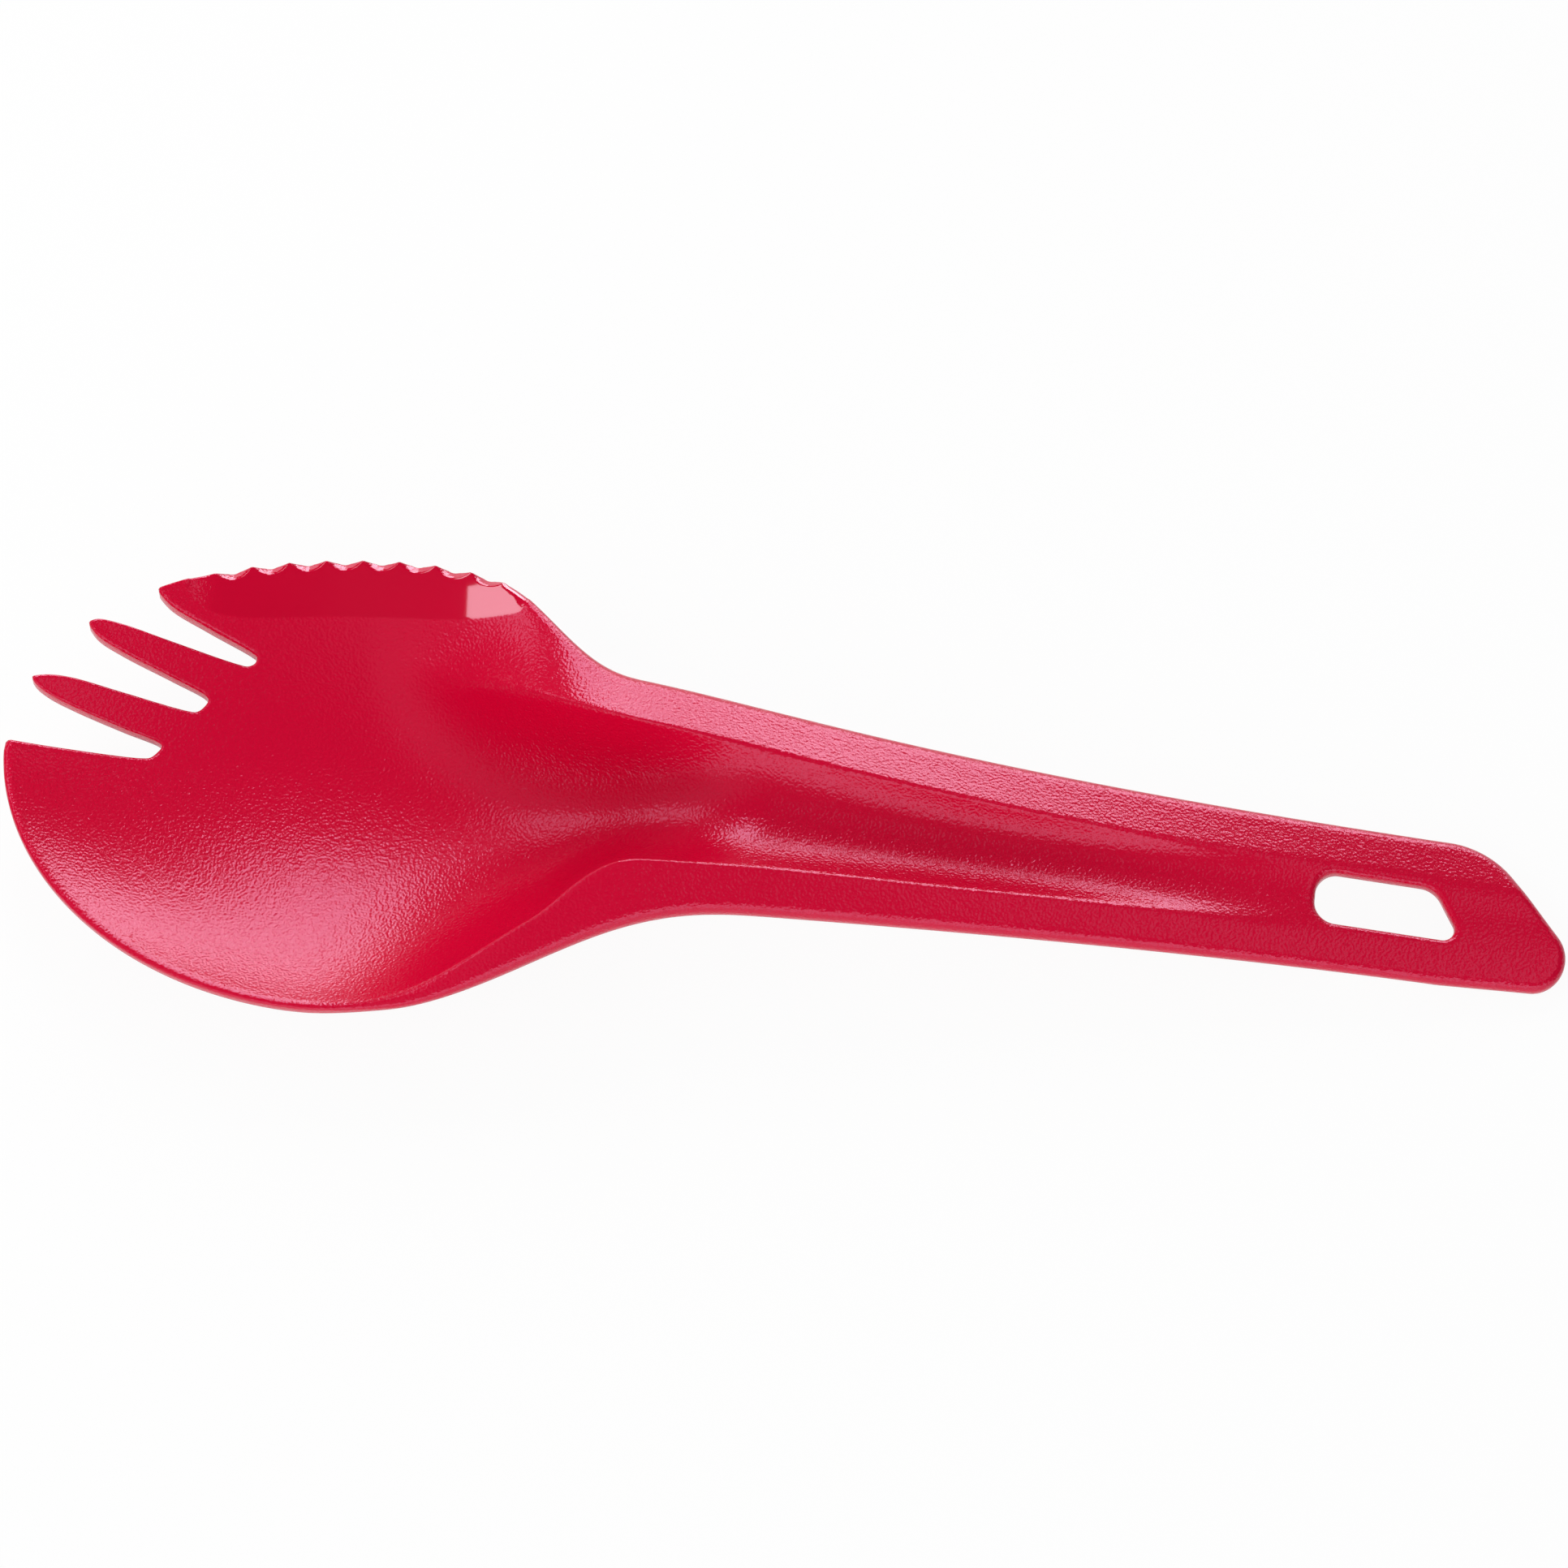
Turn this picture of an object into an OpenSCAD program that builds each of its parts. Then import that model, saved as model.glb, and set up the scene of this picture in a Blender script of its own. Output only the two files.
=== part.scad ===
// One-piece camping spork, moulded in one shot of red polypropylene.
// Spoon edge on the near side (-Y), serrated edge on the far side (+Y), four tines on a
// slanted row at the front (-X), a ribbed handle with a hang hole at the back (+X).
// All lengths are millimetres. The form is worked out with x running back from the front
// edge and y running across from the handle's centre line, and is shifted at the very end.

/* [Overall] */
// Length from the first tine to the end of the handle
overall_length = 160; // [130:1:200]
// Thickness of the moulded wall
wall = 2; // [1.4:0.1:3]

/* [Bowl] */
// Reach of the spoon edge from the handle's centre line
near_reach = 24.1; // [18:0.1:30]
// Reach of the serrated edge from the handle's centre line
far_reach = 24.8; // [18:0.1:30]
// How far the middle of the spoon side's oval lies towards the serrated side
near_shift = 2.2; // [0:0.1:6]
// How far the middle of the serrated side's oval lies towards the serrated side
far_shift = 3; // [0:0.1:6]
// Front edge to the widest place on the spoon side
near_front = 34; // [28:0.5:42]
// Widest place on the spoon side to the back of that oval
near_back = 58; // [48:0.5:66]
// Front edge to the widest place on the serrated side
far_front = 38; // [30:0.5:44]
// Widest place on the serrated side to the back of that oval
far_back = 30; // [26:0.5:36]
// Front edge to the lowest place of the bowl
bowl_centre = 36; // [28:0.5:44]
// Lowest place of the bowl to the top of its back slope
bowl_back = 38; // [30:0.5:46]
// Height of the rim at the tine tips
front_height = 10; // [6:0.1:15]
// Height of the rim beside the lowest place of the bowl
rim_height = 11; // [7:0.1:16]

/* [Neck] */
// Front edge to the highest place of the edge line
neck_distance = 68; // [58:0.5:80]
// Height of the edge line at the neck
neck_height = 16; // [12:0.1:22]
// Length over which the spoon edge turns into the handle's edge
near_hollow = 36; // [24:0.5:44]
// Length over which the serrated edge turns into the handle's edge
far_hollow = 17; // [12:0.5:24]

/* [Handle] */
// Reach of the handle's edge at its narrow end, on the spoon side
near_end_reach = 7; // [5:0.1:10]
// Reach of the handle's edge at its narrow end, on the serrated side
far_end_reach = 8.2; // [6:0.1:11]
// Extra reach that the handle gains towards the neck, on the spoon side
near_flare = 3.7; // [1:0.1:6]
// Extra reach that the handle gains towards the neck, on the serrated side
far_flare = 3.4; // [1:0.1:6]
// Length over which the handle gains that width
flare_length = 74; // [50:1:100]
// Narrow end of the flare to the handle's end
flare_to_end = 11; // [5:0.5:20]
// Width of the sloping flange beside the ridge on the spoon side
near_flange = 4.7; // [3:0.1:6]
// Width of the sloping flange beside the ridge on the serrated side
far_flange = 5.3; // [3.5:0.1:6.5]
// Fall of that flange from the ridge to the outer edge, at the neck
flange_fall = 2.1; // [0.5:0.1:3.5]
// Depth of the channel between the ridges, at the neck
channel_depth = 3.3; // [1:0.1:4.5]
// Radius of the handle's end on the spoon side
near_end_radius = 3.6; // [2:0.1:6]
// Radius of the handle's end on the serrated side
far_end_radius = 9; // [5:0.1:12]
// Handle's end to the centre of the round corner on the serrated side
end_slant = 12.8; // [9:0.1:18]

/* [Hang hole] */
// Length of the hole along the spoon side
hole_length = 14.4; // [9:0.1:20]
// Width of the hole
hole_width = 5.3; // [4:0.1:8]
// Handle's end to the hole
hole_to_end = 11.6; // [8:0.1:16]
// How much shorter the hole is on the serrated side
hole_slant = 1.2; // [0:0.1:3]
// Radius of the hole's outer corner on the spoon side
hole_corner = 1.2; // [0.5:0.1:2.4]
// Radius of the hole's outer corner on the serrated side
hole_bend = 2.6; // [0.5:0.1:2.6]
// Radius of the hole's two corners towards the bowl
hole_head = 2.2; // [0.5:0.1:2.6]

/* [Serration] */
// Number of scallops
scallops = 8; // [4:1:12]
// Distance from one scallop to the next
scallop_pitch = 3.75; // [2.5:0.1:5]
// Depth of a scallop on the upper side
scallop_depth = 1; // [0.3:0.1:1.4]
// Depth of a scallop at the foot of its slanted face
scallop_foot = 0.15; // [0:0.05:0.4]
// Height of a scallop's slanted face
scallop_drop = 0.8; // [0.3:0.1:1.2]
// Front edge to the first scallop
scallop_start = 19; // [16:0.1:26]
// Width of the ground land behind the scallops
land_width = 5.2; // [3:0.1:8]
// How much the land lowers the cutting edge
land_cut = 0.9; // [0:0.1:1.4]

/* [Tines] */
// Radius of the corners at the bottom of each slot
slot_corner = 0.55; // [0.2:0.05:0.8]

/* [Hidden] */

// Shapes of the two ovals: below 2 is a little pointed, above 2 a little full
front_power_share = 1.98;
near_back_power_share = 1.6;
far_back_power_share = 1.9;
bowl_power_share = 2.2;
near_flare_power_share = 1.6;
far_flare_power_share = 2.5;

// Where the neck's features begin and end, as shares of neck_distance
rim_climb_shares = [0.44, 1.09];
near_hollow_share = 0.62;
far_hollow_share = 0.705;
near_flange_shares = [0.48, 0.9];
near_straight_shares = [0.82, 0.98];
near_blend_shares = [0.44, 0.81];
far_ridge_shares = [0.5, 0.97];
far_blend_shares = [0.51, 0.94];
far_crease_shares = [0.6, 0.95];
// How far the far ridge swings out into the bowl, as a share of far_reach
far_ridge_swing_share = 0.12;
// The channel runs out and the flanges flatten along the handle, as shares of overall_length
channel_fade_shares = [0.53, 0.84];
flange_fade_shares = [0.5, 0.94];
flange_fade_depth_share = 0.5;

// The three slots between the tines: x as shares of far_front, y as shares of far_reach.
// Each runs from the mouth on its near side, round the blunt bottom, to the mouth again.
slot_shares = [
    [[-0.2, 0.05], [0, 0.071], [0.371, 0.117], [0.398, 0.165], [0.411, 0.186],
     [0.297, 0.226], [0.166, 0.27], [0.1, 0.298], [0.063, 0.327], [0.047, 0.355], [-0.2, 0.36]],
    [[-0.2, 0.35], [0.047, 0.357], [0.095, 0.379], [0.156, 0.387], [0.294, 0.37], [0.477, 0.344],
     [0.502, 0.37], [0.518, 0.408], [0.407, 0.462], [0.275, 0.529], [0.208, 0.568], [0.179, 0.61],
     [0, 0.75]],
    [[0, 0.6], [0.179, 0.618], [0.204, 0.633], [0.268, 0.633], [0.398, 0.605], [0.602, 0.556],
     [0.625, 0.57], [0.639, 0.592], [0.493, 0.677], [0.392, 0.733], [0.353, 0.778], [0.19, 0.9]]
];

// Fineness of the surface: distance between its cross sections, and steps across each part
section_step = 2;
flange_steps = 4;
bowl_steps = 9;
overrun = 1;
// Points along the outline: in front of the widest place, behind it, and degrees on an arc
front_steps = 12;
side_steps = 60;
arc_step = 5;
// Where the outline's first points lie, just behind the front edge
first_x = 0.05;
// How far the spoon side draws in before the handle's end
corner_ease = 0.5;
crease_radius = 0.6;
// How much softer the far ridge starts inside the bowl, and how softly the bowl turns
// into the channel
bowl_crease = 3;
neck_ease = 6;
least_gap = 2.4;
slope_probe = 0.5;
$fn = 48;

function ease(a, b, x) =
    let (t = min(max((x - a) / (b - a), 0), 1)) t * t * (3 - 2 * t);
function soft_min(a, b, k) = min(a, b) - pow(max(k - abs(a - b), 0), 2) / (4 * k);
function mix(a, b, t) = a + (b - a) * t;

// Reach of one oval from the centre line at x
function oval(x, front, back, reach, shift, back_power) =
    let (t = min(x < front ? (front - x) / front : (x - front) / back, 1),
         p = x < front ? front_power_share : back_power)
    shift + (reach - shift) * pow(1 - pow(t, p), 1 / p);

// Reach of the handle's two edges at x, drawn out past the neck
function handle_reach(x, end, flare, power) =
    end + flare * pow(max(overall_length - flare_to_end - x, 0) / flare_length, power);
function near_handle(x) = handle_reach(x, near_end_reach, near_flare, near_flare_power_share);
function far_handle(x) = handle_reach(x, far_end_reach, far_flare, far_flare_power_share);

// Reach of the outline at x: each oval turns into the handle's edge over its hollow
function near_edge(x) =
    let (a = near_hollow_share * neck_distance,
         o = oval(x, near_front, near_back, near_reach, -near_shift, near_back_power_share))
    mix(o, near_handle(x), ease(a, a + near_hollow, x));
function far_edge(x) =
    let (a = far_hollow_share * neck_distance,
         o = oval(x, far_front, far_back, far_reach, far_shift, far_back_power_share))
    mix(o, far_handle(x), ease(a, a + far_hollow, x));

// Height of the outer edge line, from the tine tips over the neck to the handle's end,
// whose underside rests on the same plane as the bowl
function edge_height(x) =
    let (n = neck_distance,
         rim = mix(front_height, rim_height, ease(0, bowl_centre, x)),
         climb = mix(rim, neck_height, ease(rim_climb_shares[0] * n, rim_climb_shares[1] * n, x)),
         fall = mix(wall, neck_height, (overall_length - x) / (overall_length - n)))
    soft_min(climb, fall, wall);

function flange_slope(x) =
    let (l = overall_length,
         fade = ease(flange_fade_shares[0] * l, flange_fade_shares[1] * l, x))
    flange_fall / near_flange * (1 - flange_fade_depth_share * fade);

// Distance of the two ridges from their outer edges: beside the handle the ridges run
// straight on past the hollows, and beside the bowl they swing out
function near_gap(x) =
    let (n = neck_distance,
         growing = near_flange * ease(near_flange_shares[0] * n, near_flange_shares[1] * n, x),
         straight = near_edge(x) - near_handle(x) + near_flange)
    mix(growing, straight, ease(near_straight_shares[0] * n, near_straight_shares[1] * n, x));
function far_gap(x) =
    let (n = neck_distance,
         swing = 1 - ease(far_ridge_shares[0] * n, far_ridge_shares[1] * n, x))
    far_edge(x) - far_handle(x) + far_flange - far_ridge_swing_share * far_reach * swing;

// Height along the centre line: the bowl's floor, then the channel's floor
function floor_height(x) =
    let (l = overall_length, n = neck_distance,
         r = x < bowl_centre ? (bowl_centre - x) / bowl_centre : (x - bowl_centre) / bowl_back,
         bowl = mix(wall, edge_height(min(x, n)), pow(r, bowl_power_share)),
         left = 1 - ease(channel_fade_shares[0] * l, channel_fade_shares[1] * l, x),
         channel = edge_height(x) + flange_slope(x) * near_flange - channel_depth * left)
    x < bowl_centre ? bowl : soft_min(bowl, channel, neck_ease);

// Height of the upper skin, before the land is ground
function skin_height(x, y) =
    let (n = neck_distance, f = floor_height(x), e = edge_height(x), s = flange_slope(x),
         near = y < 0,
         w = max(near ? near_edge(x) : far_edge(x), wall),
         gap = near ? near_gap(x) : far_gap(x),
         a = min(abs(y), w + overrun),
         bowl = mix(f, e, pow(a / w, bowl_power_share)),
         ridge = mix(f, e + s * gap, pow(a / (w - gap), bowl_power_share)),
         inside_bowl = 1 - ease(far_crease_shares[0] * n, far_crease_shares[1] * n, x),
         crease = crease_radius + (near ? 0 : bowl_crease * inside_bowl),
         pressed = soft_min(ridge, e + s * (w - a), crease),
         shares = near ? near_blend_shares : far_blend_shares)
    mix(bowl, pressed, ease(shares[0] * n, shares[1] * n, x));

// The ground land: a chord from the wall to a lowered cutting edge, narrowing to nothing
// at both of its round ends
land_half = (scallops * scallop_pitch + land_width) / 2;
land_middle = scallop_start + land_half - land_width / 2;
function land_reach(x) = land_width * sqrt(max(1 - pow((x - land_middle) / land_half, 4), 0));
function land_height(x, y) =
    let (w = far_edge(x), reach = land_reach(x), t = (y - w + reach) / reach)
    mix(skin_height(x, w - reach), edge_height(x) - land_cut * reach / land_width, t);
function top_height(x, y) =
    land_reach(x) > slope_probe && y > far_edge(x) - land_reach(x)
        ? min(skin_height(x, y), land_height(x, y)) : skin_height(x, y);

// Height of the lower skin: one wall below, measured square to the surface
function under_height(x, y) =
    let (d = slope_probe,
         gx = (skin_height(x + d, y) - skin_height(x - d, y)) / (2 * d),
         gy = (skin_height(x, y + d) - skin_height(x, y - d)) / (2 * d))
    skin_height(x, y) - wall * sqrt(1 + gx * gx + gy * gy);

// Stations along the length and the y values of the points on one cross section
stations = ceil(overall_length / section_step);
function station(i) = mix(-overrun, overall_length + overrun, i / stations);
function inside(x) = min(max(x, slope_probe * 2), overall_length);
function section_ys(x) =
    let (xi = max(inside(x), section_step * 2),
         n_edge = near_edge(xi), f_edge = far_edge(xi),
         n_ridge = n_edge - max(near_gap(xi), least_gap),
         f_ridge = f_edge - max(min(far_gap(xi), f_edge / 2), least_gap))
    concat([for (j = [0 : flange_steps - 1]) mix(-n_edge - overrun, -n_ridge, j / flange_steps)],
           [for (j = [0 : bowl_steps - 1]) mix(-n_ridge, 0, j / bowl_steps)],
           [for (j = [0 : bowl_steps - 1]) mix(0, f_ridge, j / bowl_steps)],
           [for (j = [0 : flange_steps]) mix(f_ridge, f_edge + overrun, j / flange_steps)]);
across = 2 * (flange_steps + bowl_steps) + 1;

// The pressed sheet: an upper and a lower skin on the same grid, closed round its border
module sheet() {
    rows = [for (i = [0 : stations]) let (x = station(i)) [for (y = section_ys(x)) [x, y]]];
    top = [for (row = rows) for (p = row) [p[0], p[1], top_height(inside(p[0]), p[1])]];
    under = [for (row = rows) for (p = row) [p[0], p[1], under_height(inside(p[0]), p[1])]];
    m = across;
    n = stations + 1;
    lower = m * n;
    skins = [for (i = [0 : n - 2]) for (j = [0 : m - 2])
        let (a = i * m + j, b = a + 1, c = a + m, d = c + 1)
        each [[a, d, c], [a, b, d], [lower + a, lower + c, lower + d], [lower + a, lower + d, lower + b]]];
    sides = [for (i = [0 : n - 2]) each [for (j = [0, m - 1])
        let (a = i * m + j, c = a + m)
        each j == 0 ? [[a, c, lower + c], [a, lower + c, lower + a]]
                    : [[a, lower + c, c], [a, lower + a, lower + c]]]];
    ends = [for (j = [0 : m - 2]) each [for (i = [0, n - 1])
        let (a = i * m + j, b = a + 1)
        each i == 0 ? [[a, lower + b, b], [a, lower + a, lower + b]]
                    : [[a, b, lower + b], [a, lower + b, lower + a]]]];
    polyhedron(concat(top, under), concat(skins, sides, ends));
}

// Flat outline of the whole spork, without its openings
module outline() {
    last = overall_length - end_slant;
    middle = near_front / 2;
    xs = concat([for (i = [0 : front_steps]) mix(first_x, middle, pow(i / front_steps, 2))],
                [for (i = [1 : side_steps]) mix(middle, last, i / side_steps)]);
    polygon(concat([for (x = xs) [x, -near_edge(x)]],
                   [for (i = [len(xs) - 1 : -1 : 0]) [xs[i], far_edge(xs[i])]]));
    corner = [last, far_edge(last) - far_end_radius];
    hull() {
        polygon(concat([[last - overrun, far_edge(last)], [last - overrun, -near_edge(last)]],
                       [for (t = [0 : arc_step : 90]) corner + far_end_radius * [sin(t), cos(t)]]));
        translate([overall_length - near_end_radius, near_end_radius - near_end_reach + corner_ease])
            circle(near_end_radius);
    }
}

module hang_hole() {
    end = overall_length - hole_to_end;
    half = hole_width / 2;
    corner = min(hole_corner, half);
    bend = min(hole_bend, half);
    head = min(hole_head, half);
    hull() {
        translate([end - hole_length + head, head - half]) circle(head);
        translate([end - hole_length + head, half - head]) circle(head);
        translate([end - corner, corner - half]) circle(corner);
        translate([end - hole_slant - bend, half - bend]) circle(bend);
    }
}

module slots() {
    for (slot = slot_shares)
        offset(r = slot_corner) offset(delta = -slot_corner)
            polygon([for (p = slot) [p[0] * far_front, p[1] * far_reach]]);
}

// A row of round scoops out of the far edge; each one is a cone that leans with the land
module serration() {
    r = (pow(scallop_pitch / 2, 2) + pow(scallop_depth, 2)) / (2 * scallop_depth);
    foot = r - scallop_depth + scallop_foot;
    for (i = [0 : scallops - 1]) {
        x = scallop_start + (i + 0.5) * scallop_pitch;
        y = far_edge(x);
        d = slope_probe;
        turn = atan2(far_edge(x + d) - far_edge(x - d), 2 * d);
        lean = atan2(top_height(x, y) - top_height(x, y - land_reach(x)), land_reach(x));
        translate([x, y, top_height(x, y)]) rotate([0, 0, turn]) rotate([lean, 0, 0])
            translate([0, r - scallop_depth, 0])
                rotate_extrude() polygon([[0, -neck_height], [foot, -neck_height],
                    [foot, -scallop_drop], [r, 0], [r, overrun], [0, overrun]]);
    }
}

module spork() {
    height = 2 * neck_height;
    color("crimson")
    translate([-overall_length / 2, (near_reach - far_reach) / 2, 0])
    difference() {
        intersection() {
            sheet();
            translate([0, 0, -wall]) linear_extrude(height) difference() {
                outline();
                slots();
                hang_hole();
            }
        }
        serration();
    }
}

spork();
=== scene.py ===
# %% [markdown]
# # A one-piece camping spork
#
# This object is a single injection moulding: a spoon bowl with four tines cut into its front,
# a serrated cutting edge on one side, a ribbed handle and a hang hole. All of it is one sheet
# of plastic about 2 mm thick, pressed into a form and trimmed to an outline. So it is built
# the same way here: a height for every point of the plan, an outline that trims it, and a
# rounded rim that joins the upper skin to the lower one. Lengths in the formulas are
# millimetres, because a maker of cutlery thinks in millimetres.

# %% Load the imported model
import bpy
import numpy as np
from mathutils import Matrix, Vector
from mathutils.geometry import delaunay_2d_cdt


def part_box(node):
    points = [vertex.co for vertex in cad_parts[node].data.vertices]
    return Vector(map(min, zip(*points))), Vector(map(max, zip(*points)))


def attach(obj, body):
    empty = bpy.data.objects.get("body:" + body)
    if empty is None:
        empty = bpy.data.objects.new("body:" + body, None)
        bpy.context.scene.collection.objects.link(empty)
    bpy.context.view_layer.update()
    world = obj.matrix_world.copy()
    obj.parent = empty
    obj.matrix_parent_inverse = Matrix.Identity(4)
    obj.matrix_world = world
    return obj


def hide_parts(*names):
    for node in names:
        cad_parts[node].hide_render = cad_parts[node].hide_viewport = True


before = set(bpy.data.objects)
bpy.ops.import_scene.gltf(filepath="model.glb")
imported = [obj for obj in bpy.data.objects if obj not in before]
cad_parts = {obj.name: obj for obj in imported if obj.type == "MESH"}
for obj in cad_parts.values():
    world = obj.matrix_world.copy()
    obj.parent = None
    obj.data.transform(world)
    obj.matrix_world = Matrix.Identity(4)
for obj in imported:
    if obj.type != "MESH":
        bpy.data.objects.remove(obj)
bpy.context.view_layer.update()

MM = 0.001
low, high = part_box("spork")
print("CAD box in mm:", [round((b - a) / MM, 2) for a, b in zip(low, high)])

# %% [markdown]
# ## Sizes
#
# x runs back from the front edge, y runs across from the handle's centre line, towards the
# serrated side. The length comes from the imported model, and the other sizes are the ones that
# the moulding was drawn with, so that the visible skin lies where the solid's skin lies. Only
# two places differ a little. The scoops of the teeth are cut steeper here, by at most 0.15 mm,
# because steep faces mirror the white paper the way the real teeth do. And the near ridge lies
# 1 mm further out and the channel fades out later, as a last look at the photo showed.

# %% Sizes of the moulding, in millimetres
front_sliver = 0.05                    # the outline starts this far behind the front edge
length = round((high.x - low.x) / MM + front_sliver, 1)
wall = 2.0
near_reach, far_reach = 24.1, 24.8     # widest places of the spoon edge and the serrated edge
near_shift, far_shift = 2.2, 3.0       # middles of the two ovals
near_front, near_back = 34.0, 58.0     # half lengths of the spoon side's oval
far_front, far_back = 38.0, 30.0       # half lengths of the serrated side's oval
bowl_centre, bowl_back = 36.0, 38.0    # lowest place of the bowl, and its back slope
front_height, rim_height = 10.0, 11.0  # of the edge line, at the front and beside the bowl
neck_distance, neck_height = 68.0, 16.0   # where the edge line turns from climbing to falling
near_hollow, far_hollow = 36.0, 17.0   # lengths over which the ovals turn into the handle
near_end_reach, far_end_reach = 7.0, 8.2  # reach of the handle's edges at its narrow end
near_flare, far_flare = 3.7, 3.4       # how much further they reach towards the bowl
flare_length, flare_to_end = 74.0, 11.0
near_flange, far_flange = 3.7, 5.3     # sloping flanges beside the two ridges
neck_widening = 0.5                    # how much wider the near flange is at the neck
flange_fall, channel_depth = 1.65, 2.85   # how far the flanges and the channel drop
near_end_radius, far_end_radius = 3.6, 9.0   # the two corners of the handle's end
end_slant, corner_ease = 12.8, 0.5     # how far the end slants, and its near corner is set in
hole_length, hole_width, hole_to_end, hole_slant = 14.4, 5.3, 11.6, 1.2
hole_corner, hole_bend, hole_head = 1.2, 2.6, 2.2   # radii of the hole's corners
scallops, scallop_pitch, scallop_start = 8, 3.75, 19.0
scallop_depth, scallop_foot = 0.95, 0.12   # depth of a scoop at its upper lip and at its foot
scallop_drop = 0.95                    # height of a scoop's slanted face
land_width, land_cut = 5.2, 0.9        # the ground land, and how much it takes off the edge
crease_radius = 0.6                    # how softly the ridges bend
slope_probe = 0.5                      # half the distance over which a slope is measured
neck_ease = 6.0                        # how softly the bowl turns into the channel
bowl_crease = 3.0                      # how much softer the far ridge starts, inside the bowl
front_power, near_power, far_power = 1.98, 1.6, 1.9   # fullness of the ovals
bowl_power, near_flare_power, far_flare_power = 2.2, 1.6, 2.5


def places(*shares):
    """Places along the bowl and the neck, given as shares of the distance to the neck."""
    return tuple(share * neck_distance for share in shares)


near_hollow_start, far_hollow_start = places(0.62, 0.705)
rim_climb = places(0.44, 1.09)          # the rim climbs to the neck
near_turn = places(0.44, 0.81)          # the bowl turns into the handle's M, spoon side
far_turn = places(0.51, 0.94)           # the same on the serrated side
near_rise = places(0.48, 0.9)           # the near flange grows out of the bowl's wall
near_straight = places(0.82, 0.98)      # the near ridge turns parallel to the handle
near_narrowing = places(1, 1.5)         # the near flange gets narrower behind the neck
far_swing_run = places(0.5, 0.97)       # the far ridge swings out of the bowl
crease_run = places(0.6, 0.95)          # the far crease gets sharper
far_swing = 0.12 * far_reach
flange_run = (0.5 * length, 0.94 * length)      # the flanges get flatter
channel_fade = (0.58 * length, 0.90 * length)   # the channel gets shallower
print("length", length, "mm, bowl", round(near_reach + far_reach, 1), "mm wide")

# %% [markdown]
# ## The outline in plan
#
# Each side of the bowl is an oval with its own reach and length, and a smooth step turns it
# into the handle's edge. An oval with a power a little off 2 is slightly pointed or full,
# which is what lets two simple curves follow the moulding's edge all the way round.

# %% Curves of the two edges
def ease(a, b, x):
    """Smooth step: 0 before a, 1 after b, and 3t^2 - 2t^3 between, with t the share of the way."""
    t = np.clip((x - a) / (b - a), 0, 1)
    return t * t * (3 - 2 * t)


def mix(a, b, t):
    """a at t = 0, b at t = 1, on a straight line between."""
    return a + (b - a) * t


def soft_min(a, b, k):
    """The smaller of a and b, rounded off where they differ by less than k."""
    return np.minimum(a, b) - np.maximum(k - np.abs(a - b), 0) ** 2 / (4 * k)


def oval(x, front, back, reach, shift, back_power):
    """shift + (reach - shift) * (1 - t^p)^(1/p), with t the distance from the widest place
    as a share of the front or back length."""
    t = np.clip(np.where(x < front, (front - x) / front, (x - front) / back), 0, 1)
    p = np.where(x < front, front_power, back_power)
    return shift + (reach - shift) * (1 - t ** p) ** (1 / p)


def handle_reach(x, end, flare, power):
    """end + flare * t^power, with t the way from the handle's narrow end towards the bowl."""
    return end + flare * (np.maximum(length - flare_to_end - x, 0) / flare_length) ** power


def near_handle(x): return handle_reach(x, near_end_reach, near_flare, near_flare_power)
def far_handle(x): return handle_reach(x, far_end_reach, far_flare, far_flare_power)


def near_edge(x):
    """Reach of the spoon edge: its oval, turning into the handle over the near hollow."""
    bowl = oval(x, near_front, near_back, near_reach, -near_shift, near_power)
    return mix(bowl, near_handle(x), ease(near_hollow_start, near_hollow_start + near_hollow, x))


def far_edge(x):
    """Reach of the serrated edge, before its bites: oval, then handle over the far hollow."""
    bowl = oval(x, far_front, far_back, far_reach, far_shift, far_power)
    return mix(bowl, far_handle(x), ease(far_hollow_start, far_hollow_start + far_hollow, x))


for x in (10.0, 34.0, 66.0, 120.0):
    print("at x", x, "the edges reach", near_edge(x).round(2), far_edge(x).round(2))

# %% [markdown]
# ## The pressed sheet
#
# Across any section, the bowl is a power curve from its floor up to the rim. Along the handle
# it is an M: a channel in the middle, a ridge on each side of it, and a flange that slopes
# down and out from each ridge. The bowl's curve fades into the M at the neck. The channel
# keeps a flat strip of plastic from bending, which is why such handles are ribbed.

# %% Heights along the spork
def edge_height(x):
    """Height of the outer edge line: the rim, a climb to the neck, and a straight fall to
    the handle's end."""
    rim = mix(front_height, rim_height, ease(0, bowl_centre, x))
    climb = mix(rim, neck_height, ease(*rim_climb, x))
    fall = mix(wall, neck_height, (length - x) / (length - neck_distance))
    return soft_min(climb, fall, wall)


def flange_slope(x):
    """Fall of the flanges for each mm outwards, half as steep at the handle's end."""
    return flange_fall / near_flange * (1 - 0.5 * ease(*flange_run, x))


def near_gap(x):
    """Distance of the near ridge from the outer edge: it grows beside the bowl, and runs
    straight on beside the handle."""
    flange = near_flange + neck_widening * (1 - ease(*near_narrowing, x))
    straight = near_edge(x) - near_handle(x) + flange
    return mix(flange * ease(*near_rise, x), straight, ease(*near_straight, x))


def far_gap(x):
    """Distance of the far ridge from the outer edge: straight, with a swing into the bowl."""
    swing = 1 - ease(*far_swing_run, x)
    return far_edge(x) - far_handle(x) + far_flange - far_swing * swing


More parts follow.
